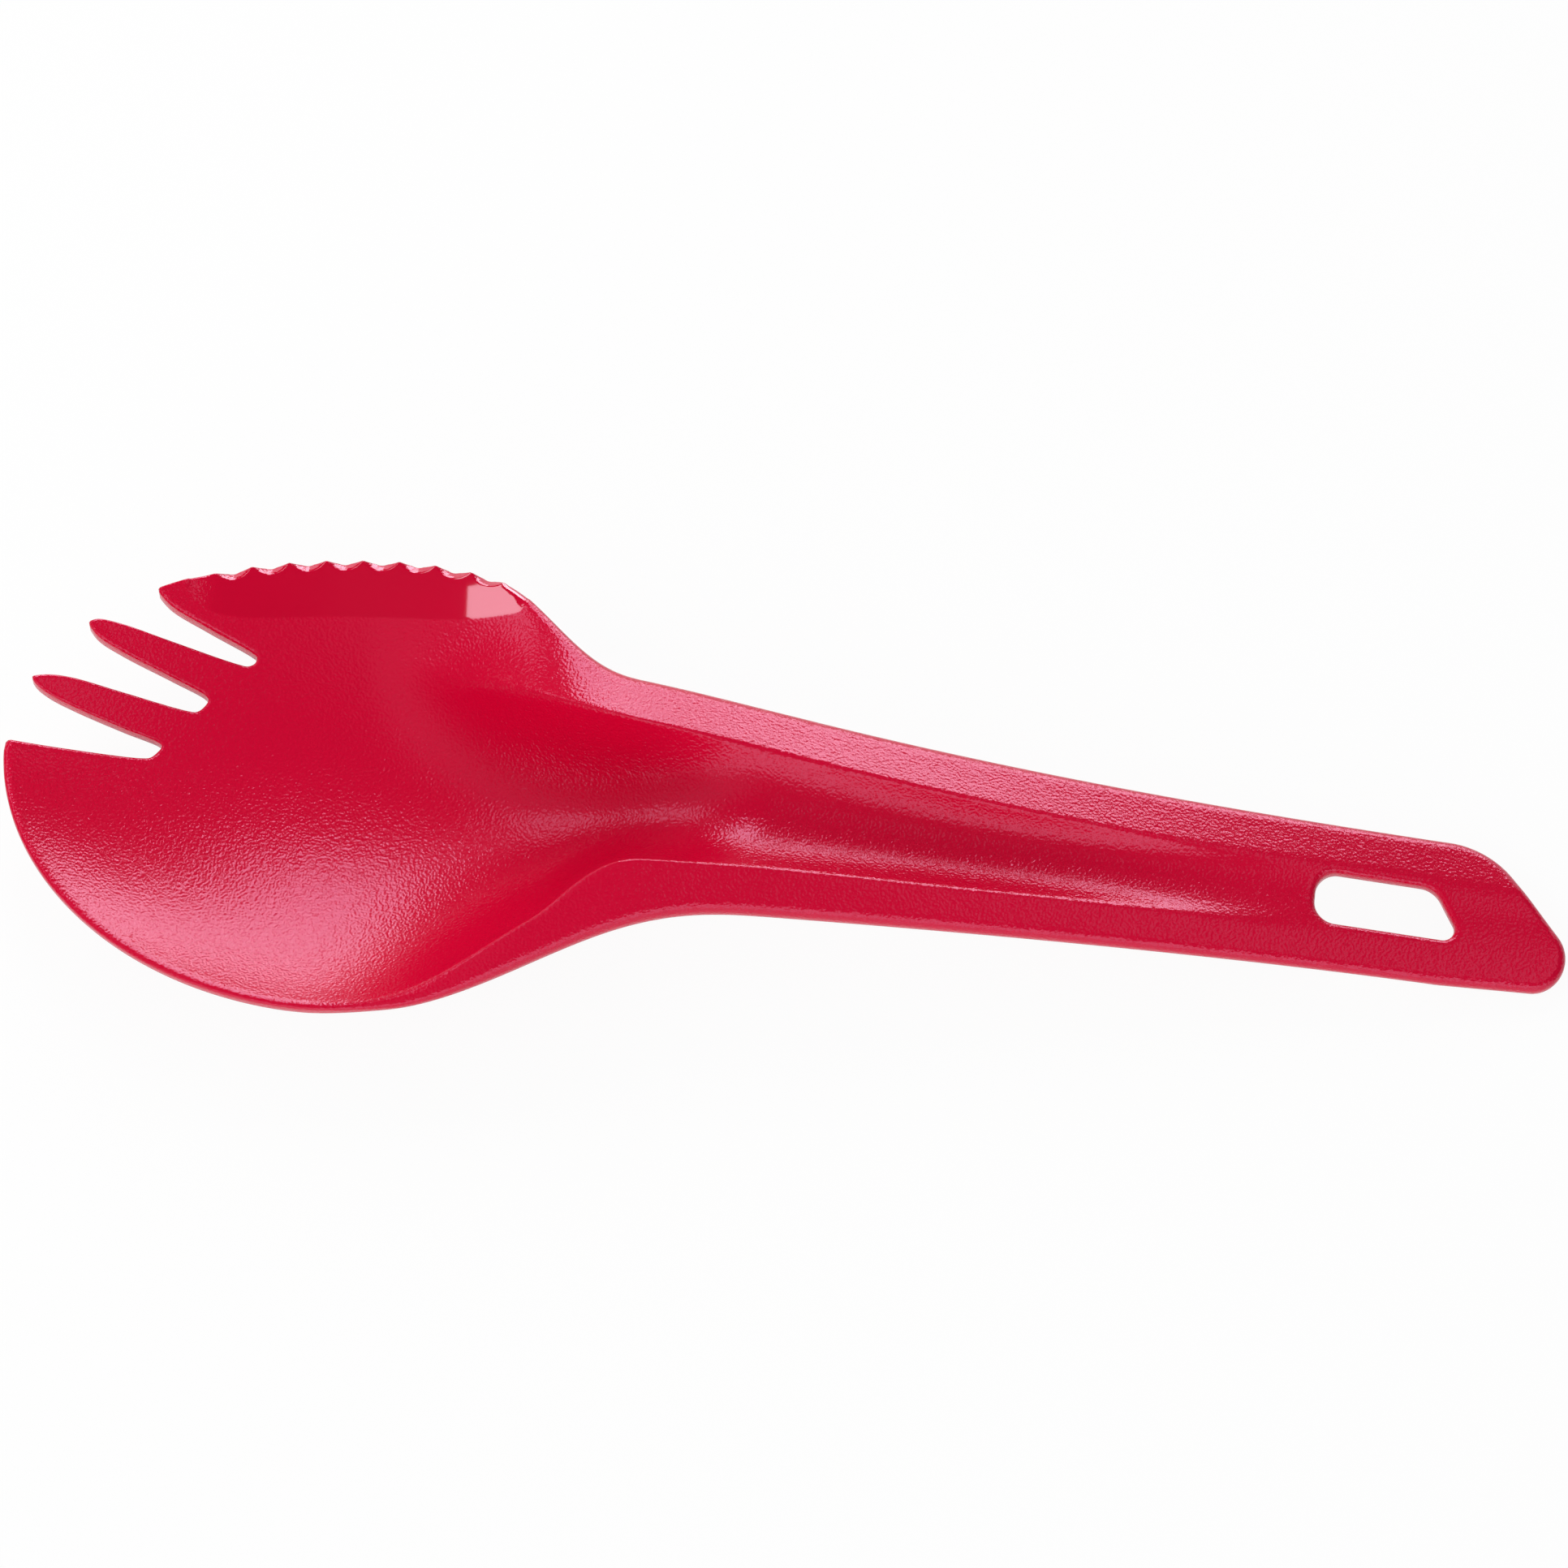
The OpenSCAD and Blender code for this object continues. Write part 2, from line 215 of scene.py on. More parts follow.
def floor_height(x):
    """Height along the centre line: the bowl's floor, then the channel's."""
    r = np.where(x < bowl_centre, (bowl_centre - x) / bowl_centre, (x - bowl_centre) / bowl_back)
    bowl = mix(wall, edge_height(np.minimum(x, neck_distance)), r ** bowl_power)
    channel = (edge_height(x) + flange_slope(x) * near_flange
               - channel_depth * (1 - ease(*channel_fade, x)))
    return np.where(x < bowl_centre, bowl, soft_min(bowl, channel, neck_ease))


# %% Height of the pressed skin
def skin_height(x, y):
    """The bowl's power curve f + (e - f) * (y / w)^2.2, fading into the pressed M of the
    handle, which is the softer of a curve up to the ridge and a plane down the flange."""
    near = y < 0
    f, e, s = floor_height(x), edge_height(x), flange_slope(x)
    w = np.maximum(np.where(near, near_edge(x), far_edge(x)), wall)
    gap = np.where(near, near_gap(x), far_gap(x))
    a = np.minimum(np.abs(y), w + 1)
    bowl = mix(f, e, (a / w) ** bowl_power)
    ridge = mix(f, e + s * gap, (a / (w - gap)) ** bowl_power)
    soft = crease_radius + np.where(near, 0, bowl_crease * (1 - ease(*crease_run, x)))
    pressed = soft_min(ridge, e + s * (w - a), soft)
    turn = np.where(near, ease(*near_turn, x), ease(*far_turn, x))
    return mix(bowl, pressed, turn)


xs = np.linspace(1, length - 1, 400)
print("highest ridge", skin_height(xs, near_gap(xs) - near_edge(xs)).max().round(2), "mm")

# %% [markdown]
# ## The ground land and its scoops
#
# Behind the teeth the moulding has a smooth land, a shallow chord from the wall down to the
# cutting edge. Eight scoops, cut at a slant like the bites of a cone, make the teeth. A scoop
# is deep on the upper side and shallow on the lower one, so its face looks up and outwards.

# %% Land and scoops
land_half = (scallops * scallop_pitch + land_width) / 2
land_middle = scallop_start + land_half - land_width / 2
front_fade, back_fade, border_width = 4, 1, 0.2    # how the polish ends, in millimetres
scoop_polish = 0.5                                 # the scoops are polished half as well


def land_reach(x):
    """Width of the land: land_width * sqrt(1 - t^4), so that both of its ends are round."""
    return land_width * np.sqrt(np.maximum(1 - ((x - land_middle) / land_half) ** 4, 0))


scoop_x = scallop_start + (np.arange(scallops) + 0.5) * scallop_pitch
scoop_radius = (scallop_pitch ** 2 / 4 + scallop_depth ** 2) / (2 * scallop_depth)
foot_radius = scoop_radius - scallop_depth + scallop_foot
# Each scoop is set square to the edge, and tilt is the edge's angle there.
tilt = np.arctan2(far_edge(scoop_x + slope_probe) - far_edge(scoop_x - slope_probe),
                  2 * slope_probe)
out = scoop_radius - scallop_depth     # how far outside the edge each scoop's centre lies
scoop_centres = np.stack([scoop_x - out * np.sin(tilt),
                          far_edge(scoop_x) + out * np.cos(tilt)], -1)


def scoop_distance(x, y):
    """Distance from the nearest scoop's centre."""
    offset = np.stack([x, y], -1)[..., None, :] - scoop_centres
    return np.hypot(offset[..., 0], offset[..., 1]).min(-1)


def land_mask(x, y):
    """1 on the polished land, 0 on the grained wall, with a narrow step between. The polish
    fades out towards the land's ends, and it is half as good in the scoops."""
    depth = land_reach(x) - (far_edge(x) - y)
    start, stop = land_middle - land_half, land_middle + land_half
    ends = ease(start, start + front_fade, x) * (1 - ease(stop - back_fade, stop, x))
    polish = ends * np.where(scoop_distance(x, y) < scoop_radius, scoop_polish, 1)
    inside = np.clip(depth / border_width + 0.5, 0, 1)
    return polish * np.where(land_reach(x) > slope_probe, inside, 0)


def top_height(x, y):
    """The skin, cut down to the land's chord near the serrated edge, and cut down again
    inside each scoop in proportion to the distance past the scoop's upper lip."""
    skin = skin_height(x, y)
    w, reach = far_edge(x), land_reach(x)
    on_land = (reach > slope_probe) & (y > w - reach)
    safe = np.where(on_land, reach, 1)
    chord = mix(skin_height(x, w - safe), edge_height(x) - land_cut * safe / land_width,
                (y - w + safe) / safe)
    ground = np.where(on_land, np.minimum(skin, chord), skin)
    scooped = np.maximum(scoop_radius - scoop_distance(x, y), 0)
    return ground - scallop_drop * np.minimum(scooped / (scoop_radius - foot_radius), 1)


def under_height(x, y):
    """The lower skin: one wall below the pressed skin, measured square to it."""
    d = slope_probe
    gx = (skin_height(x + d, y) - skin_height(x - d, y)) / (2 * d)
    gy = (skin_height(x, y + d) - skin_height(x, y - d)) / (2 * d)
    return skin_height(x, y) - wall * np.sqrt(1 + gx ** 2 + gy ** 2)


print("scoops of radius", round(scoop_radius, 2), "mm, at x", scoop_x.round(1))

# %% [markdown]
# ## The trimmed outline
#
# The outline is one closed walk: along the spoon edge, round the slanted end of the handle,
# back along the serrated edge, and in and out of the three slots between the tines. It could
# be drawn as a curve by hand, but as a list of joined pieces each piece keeps its own formula.
# The slots are smooth curves through a few points that a designer would place.

# %% Helpers for plane curves
def resample(points, step):
    """Points on a polyline, evenly spaced by arc length."""
    run = np.concatenate([[0], np.cumsum(np.hypot(*np.diff(points, axis=0).T))])
    at = np.linspace(0, run[-1], max(int(np.ceil(run[-1] / step)), 1) + 1)
    return np.stack([np.interp(at, run, points[:, k]) for k in range(2)], -1)


def spline(points, steps=24):
    """A Catmull-Rom curve through the points, with knots spaced by the root of the distance."""
    p = np.concatenate([[2 * points[0] - points[1]], points, [2 * points[-1] - points[-2]]])
    k = np.concatenate([[0], np.cumsum(np.sqrt(np.hypot(*np.diff(p, axis=0).T)))])
    p0, p1, p2, p3 = (p[i:len(p) - 3 + i, None] for i in range(4))
    k0, k1, k2, k3 = (k[i:len(k) - 3 + i, None, None] for i in range(4))
    t = k1 + (k2 - k1) * np.linspace(0, 1, steps, endpoint=False)[None, :, None]
    a1 = mix(p0, p1, (t - k0) / (k1 - k0))
    a2 = mix(p1, p2, (t - k1) / (k2 - k1))
    a3 = mix(p2, p3, (t - k2) / (k3 - k2))
    b1, b2 = mix(a1, a2, (t - k0) / (k2 - k0)), mix(a2, a3, (t - k1) / (k3 - k1))
    return np.concatenate([mix(b1, b2, (t - k1) / (k2 - k1)).reshape(-1, 2), points[-1:]])


def arc(centre, radius, start, stop, steps=24):
    """Points on a circle's arc, from one angle to another, in degrees."""
    a = np.radians(np.linspace(start, stop, steps))
    return np.array(centre) + radius * np.stack([np.cos(a), np.sin(a)], -1)


def tangent_angle(c1, r1, c2, r2):
    """Angle at which the outer tangent, on the right of the way c1 to c2, touches both."""
    d = np.subtract(c2, c1)
    return np.degrees(np.arctan2(d[1], d[0]) - np.arccos((r1 - r2) / np.hypot(*d)))


# %% Slots between the tines
slot_points = [np.array(s) for s in (
    [(0.1, 1.76), (7.0, 2.32), (13.6, 2.88), (14.45, 3.1), (15.1, 3.8), (15.45, 4.45),
     (15.2, 4.75), (11.3, 5.6), (6.3, 6.7), (3.8, 7.4), (2.4, 8.1), (1.79, 8.75)],
    [(1.79, 8.85), (3.6, 9.4), (5.9, 9.6), (11.2, 9.18), (17.6, 8.55), (18.5, 8.6),
     (19.2, 9.2), (19.55, 9.95), (19.2, 10.35), (15.5, 11.6), (10.45, 13.1), (7.9, 14.1),
     (6.8, 15.1)],
    [(6.8, 15.25), (7.75, 15.7), (10.2, 15.7), (15.1, 15.0), (22.3, 13.85), (23.2, 13.8),
     (23.9, 14.2), (24.0, 14.75), (23.5, 15.1), (18.7, 16.8), (14.9, 18.2), (13.4, 19.3)])]
slots = [spline(p) for p in slot_points]
print("the slots reach back to x", [float(s[:, 0].max().round(1)) for s in slots])

# %% The walk round the spork
last = length - end_slant
front_x = front_sliver + (last - front_sliver) * np.linspace(0, 1, 700) ** 2
near_line = np.stack([front_x, -near_edge(front_x)], -1)

near_corner = (length - near_end_radius, near_end_radius - near_end_reach + corner_ease)
far_corner = (last, float(far_edge(last)) - far_end_radius)
touch = tangent_angle(near_corner, near_end_radius, far_corner, far_end_radius)
handle_end = np.concatenate([arc(near_corner, near_end_radius, -87, touch),
                             arc(far_corner, far_end_radius, touch, 90)])
near_line = np.concatenate([near_line, handle_end[:1]])   # straight on to the end's corner


def far_line(x0, x1):
    """The serrated edge from x0 to x1, pushed in to the foot of each scoop it crosses."""
    x = np.linspace(x0, x1, 3000)
    line = np.stack([x, far_edge(x)], -1)
    offset = line[:, None] - scoop_centres
    away = np.hypot(offset[..., 0], offset[..., 1])
    pick = np.arange(len(x)), away.argmin(1)
    foot = scoop_centres[pick[1]] + offset[pick] / away[pick][:, None] * foot_radius
    return np.where(away[pick][:, None] < foot_radius, foot, line)


teeth_end, teeth_start = scoop_x[-1] + scallop_pitch / 2, scoop_x[0] - scallop_pitch / 2
tip_x = slot_points[2][-1][0]
# Each part of the walk has its own point spacing and its own radius of the rim.
parts = [(resample(near_line, 0.4), 0.92), (resample(handle_end, 0.4), 0.85),
         (resample(far_line(last, teeth_end), 0.4), 0.92),
         (resample(far_line(teeth_end, teeth_start), 0.14), 0.13),
         (resample(far_line(teeth_start, tip_x), 0.28), 0.4)]
parts += [(resample(s[::-1], 0.28), 0.42) for s in reversed(slots)]
outline = np.concatenate([p[1:] for p, _ in parts])
outline_round = np.concatenate([np.full(len(p) - 1, r) for p, r in parts])
print("the outline has", len(outline), "points")

# %% The hang hole
hx0, hx1, half = length - hole_to_end - hole_length, length - hole_to_end, hole_width / 2
corners = [(hx1 - hole_corner, hole_corner - half, hole_corner),
           (hx1 - hole_slant - hole_bend, half - hole_bend, hole_bend),
           (hx0 + hole_head, half - hole_head, hole_head),
           (hx0 + hole_head, hole_head - half, hole_head)]
touches = [tangent_angle(a[:2], a[2], b[:2], b[2]) % 360 for a, b in zip(corners, corners[1:])]
touches = [-90] + touches + [270]
hole = np.concatenate([arc(c[:2], c[2], touches[i], touches[i + 1])
                       for i, c in enumerate(corners)])
hole = resample(np.concatenate([hole, hole[:1]]), 0.28)[:0:-1]
print("the hole runs from x", hole[:, 0].min().round(2), "to", hole[:, 0].max().round(2))

# %% [markdown]
# ## A rounded rim
#
# A moulded edge is never sharp: a spoon's rim is round so that it does not cut the lip, and
# the parting line of the mould runs along it. Each place of the rim gets its own radius, large
# on the bowl and the handle, smaller on the tines, and hardly any on the teeth.

# %% Distance from the rim
def loop_normals(loop):
    """Unit normals that point out of the plastic, for a walk with the plastic on its left."""
    along = np.roll(loop, -1, 0) - np.roll(loop, 1, 0)
    along /= np.hypot(*along.T)[:, None]
    return np.stack([along[:, 1], -along[:, 0]], -1)


def smooth_along(loop, values, reach):
    """Running mean of values over a length of 2 * reach along a closed walk."""
    step = np.hypot(*(np.roll(loop, -1, 0) - loop).T)
    run = np.concatenate([[0], np.cumsum(step)])
    total = np.concatenate([[0], np.cumsum(step * (values + np.roll(values, -1)) / 2)])
    turn = np.arange(-1, 2)[:, None]
    runs, totals = (turn * run[-1] + run[:-1]).ravel(), (turn * total[-1] + total[:-1]).ravel()
    ahead = np.interp(run[:-1] + reach, runs, totals)
    behind = np.interp(run[:-1] - reach, runs, totals)
    return (ahead - behind) / (2 * reach)


# The tine tips are rounded off: close to a tip, the walk is replaced by its running mean.
tip_reach, tip_mean = 1.6, 0.35        # how near a tip, and half the length of the mean
tips = np.array([(0.05, 1.3), (1.79, 8.8), (6.8, 15.18), (13.4, 19.3)])
to_tip = np.hypot(*(outline[:, None] - tips).transpose(2, 0, 1)).min(1)
near_tip = np.clip(tip_reach - to_tip, 0, 1)[:, None]
mean = np.stack([smooth_along(outline, outline[:, k], tip_mean) for k in range(2)], -1)
outline = mix(outline, mean, near_tip)

rim = np.concatenate([outline, hole])
normals = np.concatenate([loop_normals(outline), loop_normals(hole)])
hole_round, blend_reach = 0.7, 0.7     # radius of the hole's rim, and how radii blend
rounding = np.concatenate([smooth_along(outline, outline_round, blend_reach),
                           np.full(len(hole), hole_round)])
thick = top_height(*rim.T) - under_height(*rim.T)
rounding = np.minimum(rounding, 0.49 * thick)      # a thin edge can't be rounded more
after = np.concatenate([np.roll(outline, -1, 0), np.roll(hole, -1, 0)])
before = np.concatenate([np.roll(outline, 1, 0), np.roll(hole, 1, 0)])


def from_rim(points):
    """Distance from the rim, negative outside the plastic, and the rim's radius there."""
    distances, radii = [], []
    # In batches, because the table of all distances at once would fill the memory.
    for p in np.array_split(points, len(points) // 8000 + 1):
        i = ((rim ** 2).sum(1) - 2 * p @ rim.T).argmin(1)
        best = np.full(len(p), np.inf)
        for end in (after, before):
            way = end[i] - rim[i]
            t = np.clip(((p - rim[i]) * way).sum(1) / (way ** 2).sum(1), 0, 1)[:, None]
            gap = p - rim[i] - t * way
            d = np.hypot(*gap.T) * -np.sign((gap * normals[i]).sum(1))
            best = np.where(np.abs(d) < np.abs(best), d, best)
        distances.append(best)
        radii.append(rounding[i])
    return np.concatenate(distances), np.concatenate(radii)


print("the edge is", thick.min().round(2), "to", thick.max().round(2), "mm thick")

# %% [markdown]
# ## Points for the skin
#
# The plan is filled with points: rings that follow the rim closely, narrow bands along the
# ridges, the land's border and the scoops, where the surface bends sharply, and an even
# triangular grid everywhere else. One triangulation of the plan serves both skins.

# %% Points where the surface bends
turns = np.radians([17, 35, 53, 72, 90])   # where the rings lie on the rim's quarter circle
rings = []
for t in turns:
    depth = rounding * (1 - np.cos(t))
    ring = rim - normals * depth[:, None]
    rings.append(ring[from_rim(ring)[0] > 0.96 * depth])
rings = np.concatenate(rings)

x = np.arange(near_rise[0], length - end_slant, 0.5)
offsets = np.array([-0.5, -0.3, -0.2, -0.1, 0, 0.1, 0.2, 0.3, 0.5])[:, None]
ridges = [np.stack([x + 0 * offsets, near_gap(x) - near_edge(x) + offsets], -1),
          np.stack([x + 0 * offsets, far_edge(x) - far_gap(x) + offsets], -1)]

u = land_middle + land_half * np.sin(np.radians(np.linspace(-89, 89, 180)))
border = np.stack([u, far_edge(u) - land_reach(u)], -1)
across = np.stack([-np.gradient(border[:, 1]), np.gradient(border[:, 0])], -1)
across /= np.hypot(*across.T)[:, None]
borders = border + across * np.array([-0.3, -0.08, 0.08, 0.3])[:, None, None]

angle = np.radians(np.arange(200, 340, 3.5))[:, None, None]
radii = np.concatenate([scoop_radius + np.array([-0.05, 0.05, 0.18]),
                        foot_radius + (scoop_radius - foot_radius) * np.array([0.3, 0.6])])
spokes = np.stack([np.cos(angle + tilt[:, None]), np.sin(angle + tilt[:, None])], -1)
scoops = scoop_centres[:, None] + spokes * radii[:, None]

bends = np.concatenate([b.reshape(-1, 2) for b in (*ridges, borders, scoops)])
print(len(rings), "points round the rim,", len(bends), "along bends")

# %% Even points and the triangulation
def crowded(points, others, cell):
    """True where a point shares a square of this size, or the next one, with another. Each
    square gets one whole number as its key."""
    rows = 4096                            # more rows of squares than any plan here has

    def key(p):
        return (np.floor(p[:, 0]) * rows + np.floor(p[:, 1] + rows / 2)).astype(np.int64)

    shifts = np.stack(np.meshgrid([-1, 0, 1], [-1, 0, 1]), -1).reshape(-1, 1, 2)
    taken = np.unique(np.concatenate([key(others / cell + s) for s in shifts]))
    return np.isin(key(points / cell), taken)


step, row_share = 0.5, 0.866           # rows of a triangular grid lie sin 60 degrees apart
bend_gap, grid_gap, grid_margin = 0.04, 0.16, 0.15   # smallest gaps between points
gx, gy = np.meshgrid(np.arange(0, length, step),
                     np.arange(-near_reach, far_reach, step * row_share))
gx += step / 2 * (np.arange(len(gy)) % 2)[:, None]
grid = np.stack([gx, gy], -1).reshape(-1, 2)

d, r = from_rim(bends)
bends = bends[d > np.maximum(r, 0.05) * 0.3]
bends = bends[~crowded(bends, rings, bend_gap)]
d, r = from_rim(grid)
grid = grid[d > r + grid_margin]
grid = grid[~crowded(grid, np.concatenate([rings, bends]), grid_gap)]
plan = np.concatenate([rim, rings, bends, grid])

count, holes = len(outline), len(hole)
loops = [list(range(count)), list(range(count, count + holes))]
edges = [(a, b) for loop in loops for a, b in zip(loop, loop[1:] + loop[:1])]
with_holes, merge_gap = 2, 1e-6        # fill the walk but not the hole; join doubled points
flat, _, triangles, _, _, _ = delaunay_2d_cdt(plan.tolist(), edges, [], with_holes, merge_gap)
flat, triangles = np.array(flat), np.array(triangles)
triangles = triangles[from_rim(flat[triangles].mean(1))[0] > 0]
print(len(plan), "points in,", len(flat), "out,", len(triangles), "triangles a skin")

# %% The two skins and the rim between them
depth, radius = from_rim(flat)
depth[:count + holes] = 0
radius[:count + holes] = rounding
d = np.clip(depth, 0, radius)
fall = radius - np.sqrt(radius ** 2 - (radius - d) ** 2)
upper = np.column_stack([flat, top_height(*flat.T) - fall])
lower = np.column_stack([flat, under_height(*flat.T) + fall])

n = len(flat)
rim_edges = np.array(edges)
a, b = rim_edges.T
faces = np.concatenate([triangles, triangles[:, ::-1] + n,
                        np.stack([a, a + n, b + n], -1), np.stack([a, b + n, b], -1)])
place = np.array([high.x / MM - length, low.y / MM + near_reach, 0])
vertices = (np.concatenate([upper, lower]) + place) * MM

mesh = bpy.data.meshes.new("spork")
mesh.from_pydata(vertices.tolist(), [], faces.tolist())
mesh.polygons.foreach_set("use_smooth", np.ones(len(faces), bool))
land = np.concatenate([land_mask(*flat.T), np.zeros(n)])
mesh.attributes.new("land", "FLOAT", "POINT").data.foreach_set("value", land.astype(np.float32))
mesh.validate()
mesh.update()
spork = bpy.data.objects.new("spork_moulding", mesh)
bpy.context.scene.collection.objects.link(spork)
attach(spork, "root")
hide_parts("spork")
print(len(faces), "triangles, place", place.round(3), "thinnest",
      (upper - lower)[:, 2].min().round(3))

# %% [markdown]
# ## Red plastic
#
# The mould was spark eroded, so the skin has a fine leathery grain of about 0.3 mm, which
# breaks the light up where it glances off. The land was polished in the mould: it has no
# grain, it mirrors the room and it shines more than the wall around it. Inside the scoops the
# polish is half as good. The grain is a bump map, because modelling every pit would need
# millions of triangles. The red pigment tints even the reflections, and those of the grained
# wall more than the land's.

# %% Node helpers
def add_node(tree, kind, **values):
    """Add a node. A value named like a socket goes to that socket, any other is a property."""
    node = tree.nodes.new("ShaderNode" + kind)
    for name, value in values.items():
        label = name.replace("_", " ").title()
        if label in node.inputs:
            node.inputs[label].default_value = value
        else:
            setattr(node, name, value)
    return node


def join(tree, *pairs):
    """Link pairs of (node, output name) to (node, input name or number)."""
    for (start, out_name), (end, in_name) in pairs:
        tree.links.new(start.outputs[out_name], end.inputs[in_name])


# %% The grain as a node group
grain_size, grain_depth, cloud_size = 0.28, 0.065, 22   # millimetres
grain = bpy.data.node_groups.new("spark_grain", "ShaderNodeTree")
grain.interface.new_socket("Smoothness", in_out="INPUT", socket_type="NodeSocketFloat")
grain.interface.new_socket("Normal", in_out="OUTPUT", socket_type="NodeSocketVector")
grain.interface.new_socket("Tone", in_out="OUTPUT", socket_type="NodeSocketFloat")
inlet, outlet = grain.nodes.new("NodeGroupInput"), grain.nodes.new("NodeGroupOutput")
where = add_node(grain, "TexCoord")
pits = add_node(grain, "TexNoise", scale=1 / (grain_size * MM), detail=0.6, roughness=0.5)
clouds = add_node(grain, "TexNoise", scale=1 / (cloud_size * MM), detail=3.0, roughness=0.5)
keep = add_node(grain, "Math", operation="SUBTRACT")
keep.inputs[0].default_value = 1       # 1 less the smoothness: the land has no pits
bump = add_node(grain, "Bump", distance=grain_depth * MM)
join(grain, ((where, "Object"), (pits, "Vector")), ((where, "Object"), (clouds, "Vector")),
     ((inlet, "Smoothness"), (keep, 1)), ((keep, "Value"), (bump, "Strength")),
     ((pits, "Fac"), (bump, "Height")), ((bump, "Normal"), (outlet, "Normal")),
     ((clouds, "Fac"), (outlet, "Tone")))
print("grain of", grain_size, "mm, pits up to", grain_depth, "mm deep")

# %% The plastic
material = bpy.data.materials.new("red_plastic")
material.use_nodes = True
tree = material.node_tree
shader = tree.nodes["Principled BSDF"]
skin_group = tree.nodes.new("ShaderNodeGroup")
skin_group.node_tree = grain
land_read = add_node(tree, "Attribute", attribute_name="land")
# The two reds of the clouds. Inputs 6 and 7 of a Mix node are its colours, output 2 the mix.
tone = add_node(tree, "Mix", data_type="RGBA")
tone.inputs[6].default_value = (0.56, 0.0, 0.025, 1)
tone.inputs[7].default_value = (0.60, 0.0, 0.029, 1)
# From here on, the first value is the grained wall's and the second the polished land's.
gloss = add_node(tree, "MapRange", to_min=0.21, to_max=0.07)
shine = add_node(tree, "MapRange", to_min=0.5, to_max=1.0)
polish = add_node(tree, "MapRange", to_min=1.5, to_max=1.7)
tint = add_node(tree, "Mix", data_type="RGBA")
tint.inputs[6].default_value, tint.inputs[7].default_value = (1, 0.62, 1, 1), (1, 0.85, 1, 1)
join(tree, *(((land_read, "Fac"), end) for end in (
    (skin_group, "Smoothness"), (gloss, "Value"), (shine, "Value"), (polish, "Value"),
    (tint, "Factor"))))
join(tree, ((skin_group, "Normal"), (shader, "Normal")), ((skin_group, "Tone"), (tone, "Factor")),
     ((gloss, "Result"), (shader, "Roughness")),
     ((shine, "Result"), (shader, "Specular IOR Level")), ((polish, "Result"), (shader, "IOR")))
tree.links.new(tone.outputs[2], shader.inputs["Base Color"])
tree.links.new(tint.outputs[2], shader.inputs["Specular Tint"])
spork.data.materials.append(material)

# %% [markdown]
# ## Table, light and camera
#
# A tall softbox stands behind the spork, a little to the left. It lights every wall that faces
# away from the camera. A lower one, further off and more to the right, is mirrored along the far
# flange and in the channel, and a small lamp close to the bowl is mirrored in the polished land.
# The camera stands high and far away with a very long lens, as in the photo. Weak fills at the
# right and in front keep the near flange from going black. The sweep of white paper behind the
# table shows only in reflections, where the faces of the teeth catch it, and the light that
# bounces off the room's front wall only brightens the plastic and is not mirrored in it.

# %% Floor
floor_mesh = bpy.data.meshes.new("floor")
half_floor = 3.0
floor_corners = np.array([(-1, -1, 0), (1, -1, 0), (1, 1, 0), (-1, 1, 0)]) * half_floor
floor_mesh.from_pydata(floor_corners.tolist(), [], [(0, 1, 2, 3)])
floor = bpy.data.objects.new("floor", floor_mesh)
bpy.context.scene.collection.objects.link(floor)
paper = bpy.data.materials.new("white_paper")
paper.use_nodes = True
ptree = paper.node_tree
ptree.nodes.remove(ptree.nodes["Principled BSDF"])
matt = add_node(ptree, "BsdfDiffuse", color=(0.8, 0.8, 0.8, 1))
glow = add_node(ptree, "Emission", color=(1, 1, 1, 1), strength=1.0)
ray = add_node(ptree, "LightPath")
seen = add_node(ptree, "Math", operation="MAXIMUM")
share = add_node(ptree, "Math", operation="MULTIPLY")
share.inputs[1].default_value = 0.94   # how much of the paper's own white the camera sees
blend = add_node(ptree, "MixShader")
join(ptree, ((ray, "Is Camera Ray"), (seen, 0)), ((ray, "Is Glossy Ray"), (seen, 1)),
     ((seen, "Value"), (share, 0)), ((share, "Value"), (blend, 0)),
     ((matt, "BSDF"), (blend, 1)), ((glow, "Emission"), (blend, 2)),
     ((blend, "Shader"), (ptree.nodes["Material Output"], "Surface")))
floor.data.materials.append(paper)

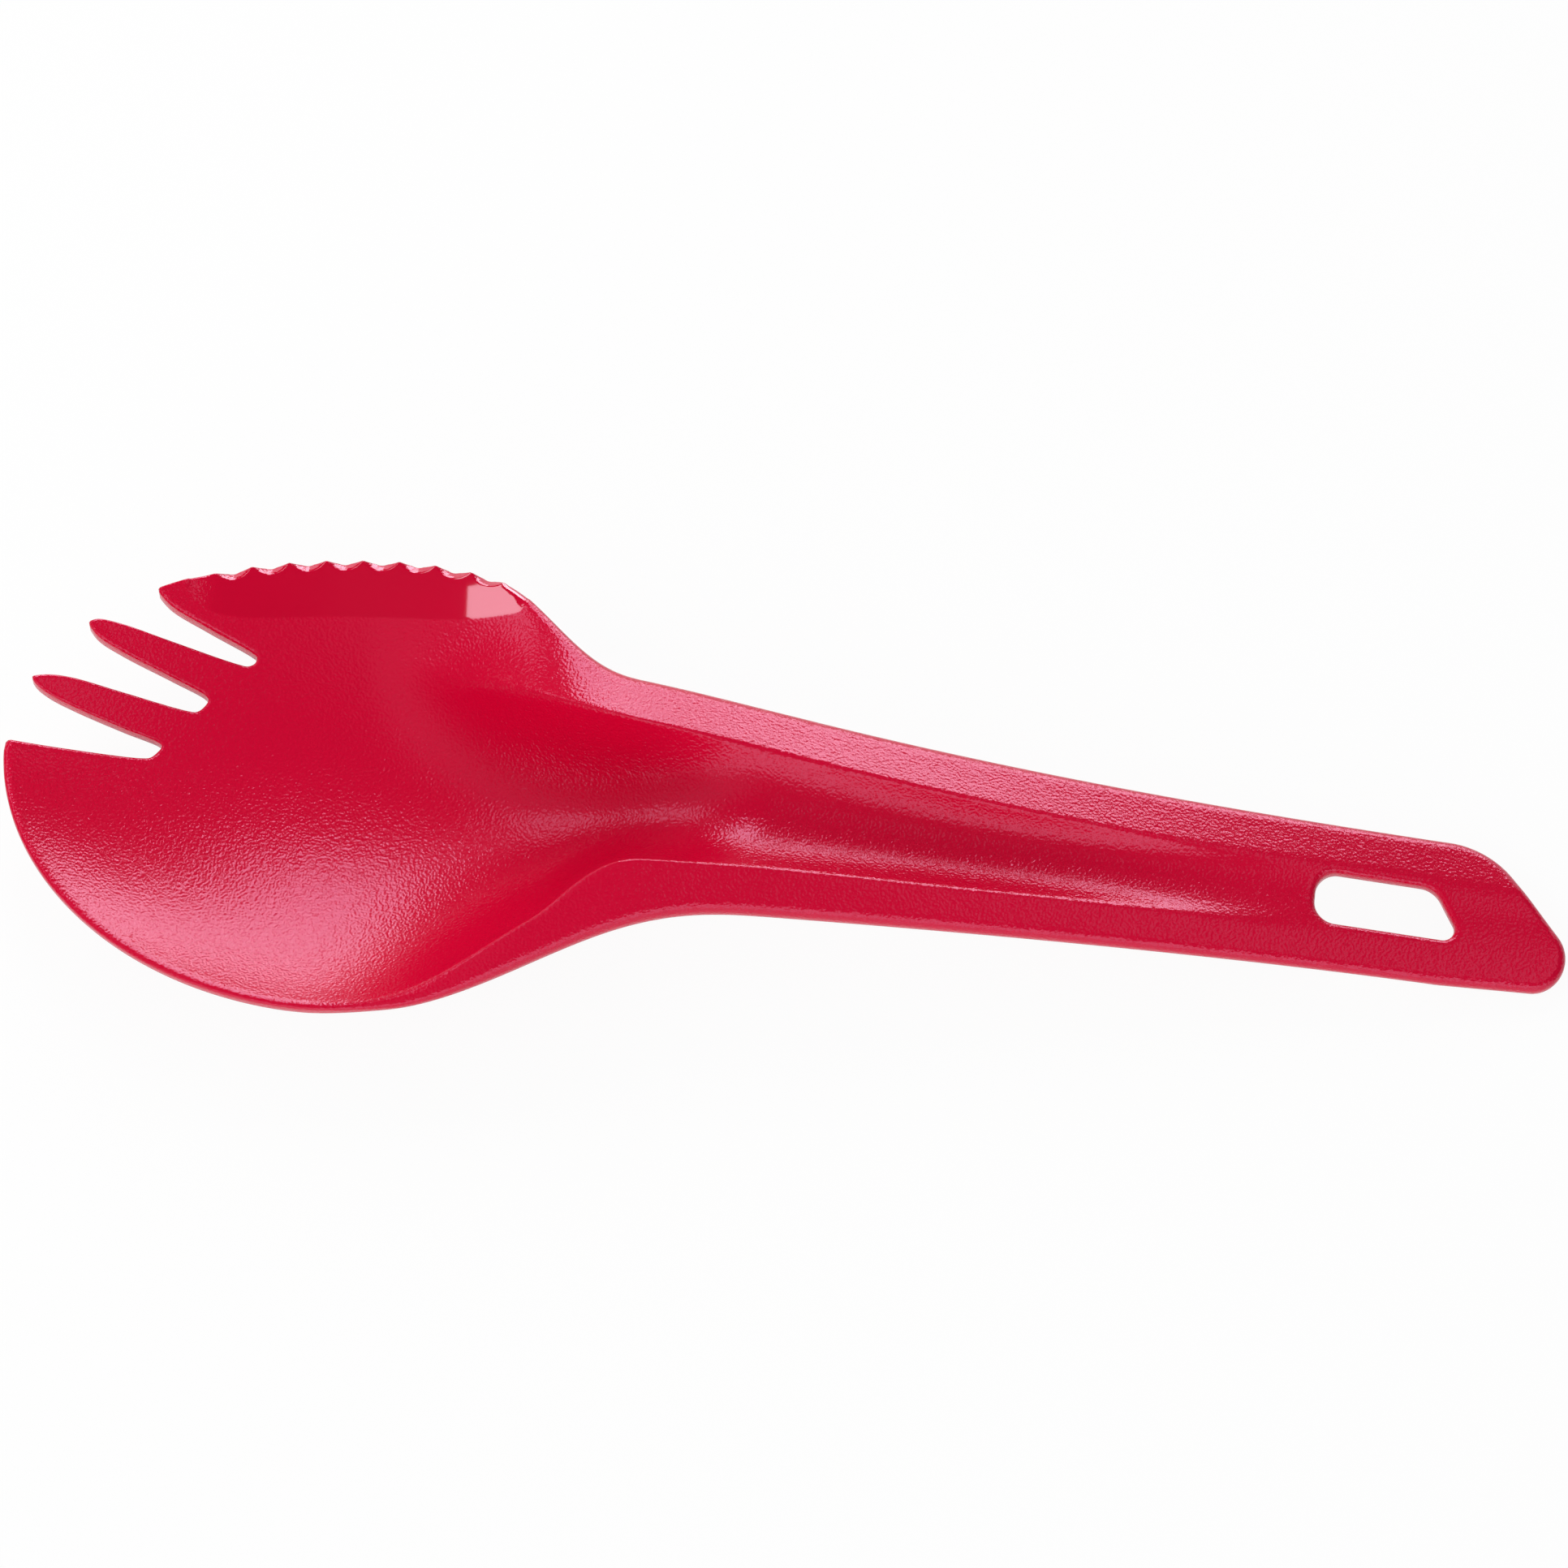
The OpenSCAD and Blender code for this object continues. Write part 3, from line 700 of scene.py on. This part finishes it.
# %% Softboxes
def softbox(name, azimuth, elevation, wide, tall, radiance, distance=0.6, aim=(0, 0, 0),
            mirrored=True, lights=True):
    """A rectangular lamp facing the point aim, in millimetres. Its place and its size are
    angles as seen from there: azimuth runs from straight behind (+Y) towards the handle's end
    (+X). A lamp can be left out of reflections, or it can show in nothing else."""
    a, e = np.radians([azimuth, elevation])
    way = Vector((np.sin(a) * np.cos(e), np.cos(a) * np.cos(e), np.sin(e)))
    lamp = bpy.data.lights.new(name, "AREA")
    lamp.shape = "RECTANGLE"
    lamp.size, lamp.size_y = 2 * distance * np.tan(np.radians([wide, tall]) / 2)
    lamp.energy = radiance * np.pi * lamp.size * lamp.size_y
    box = bpy.data.objects.new(name, lamp)
    turn = way.to_track_quat("Z", "Y").to_matrix().to_4x4()
    box.matrix_world = Matrix.Translation(Vector(aim) * MM + way * distance) @ turn
    box.visible_glossy, box.visible_diffuse = mirrored, lights
    bpy.context.scene.collection.objects.link(box)
    print(name, "is", round(lamp.size, 2), "by", round(lamp.size_y, 2), "m,",
          round(lamp.energy, 2), "W")


softbox("behind", -11, 30, 18, 54, radiance=6.2)
softbox("behind_low", 14, 16, 24, 26, radiance=6.5, distance=0.9, lights=False)
softbox("left", -77, 43, 28, 20, radiance=2.4, distance=0.16, aim=(-30, 22, 12))
softbox("right", 100, 58, 45, 14, radiance=1.0)
softbox("front", 170, 15, 90, 25, radiance=2.0)
softbox("sweep", 0, 6, 140, 12, radiance=1.6, lights=False)
softbox("bounce", -130, 45, 60, 40, radiance=1.7, mirrored=False)

world = bpy.data.worlds.new("room")
world.use_nodes = True
wtree = world.node_tree
room = wtree.nodes["Background"]
ray = add_node(wtree, "LightPath")
# The room lights with the first strength, and reflections show it with the second.
for_glossy = add_node(wtree, "MapRange", to_min=0.33, to_max=0.02)
for_camera = add_node(wtree, "Math", operation="MAXIMUM")
join(wtree, ((ray, "Is Glossy Ray"), (for_glossy, "Value")),
     ((for_glossy, "Result"), (for_camera, 0)), ((ray, "Is Camera Ray"), (for_camera, 1)),
     ((for_camera, "Value"), (room, "Strength")))
room.inputs["Color"].default_value = (1, 1, 1, 1)
bpy.context.scene.world = world

# %% Camera
yaw, elevation, distance = np.radians(6), np.radians(70), 0.9
look_at = np.array([-0.6597, 4.7185, 9.8598]) * MM
right = np.array([np.cos(yaw), np.sin(yaw), 0])
back = np.array([np.sin(yaw) * np.cos(elevation), -np.cos(yaw) * np.cos(elevation),
                 np.sin(elevation)])
camera_data = bpy.data.cameras.new("camera")
camera_data.sensor_width = 36
camera_data.lens = 203.82              # millimetres: the spork just fills the picture's width
camera = bpy.data.objects.new("camera", camera_data)
axes = np.eye(4)
axes[:3, 0], axes[:3, 1], axes[:3, 2] = right, np.cross(back, right), back
axes[:3, 3] = look_at + back * distance
camera.matrix_world = Matrix(axes.tolist())
bpy.context.scene.collection.objects.link(camera)
bpy.context.scene.camera = camera
bpy.context.scene.view_settings.view_transform = "Standard"
